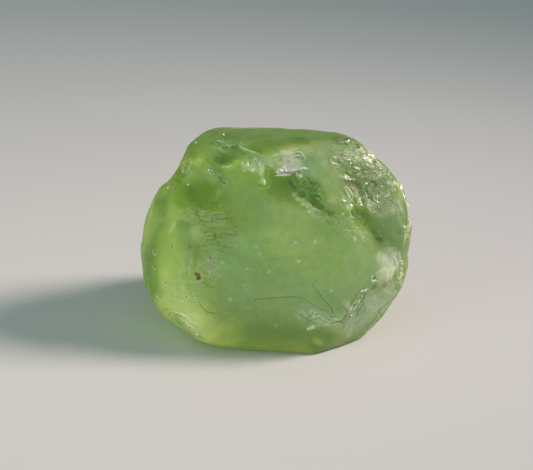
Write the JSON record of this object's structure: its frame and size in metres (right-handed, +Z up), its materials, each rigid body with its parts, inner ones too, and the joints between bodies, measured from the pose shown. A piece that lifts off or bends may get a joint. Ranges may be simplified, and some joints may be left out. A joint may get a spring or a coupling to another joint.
{
  "type": "peridot crystal",
  "caption": "Rough, broken green peridot crystal with a domed frosted front, a flat top, chipped glossy shoulders and a flat foot to stand on.",
  "frame": {"origin": "on the surface the stone stands on, under the middle of its bounding box", "axes": "+Z up, +X to the right along the stone's long way, -Y towards the broad domed front"},
  "size_m": [0.0104, 0.0062, 0.0075],
  "materials": {
    "peridot": "frosted on the worn faces, glossy on the fresh chips"
  },
  "bodies": {
    "root": {"peridot_crystal": "peridot"}
  },
  "joints": []
}
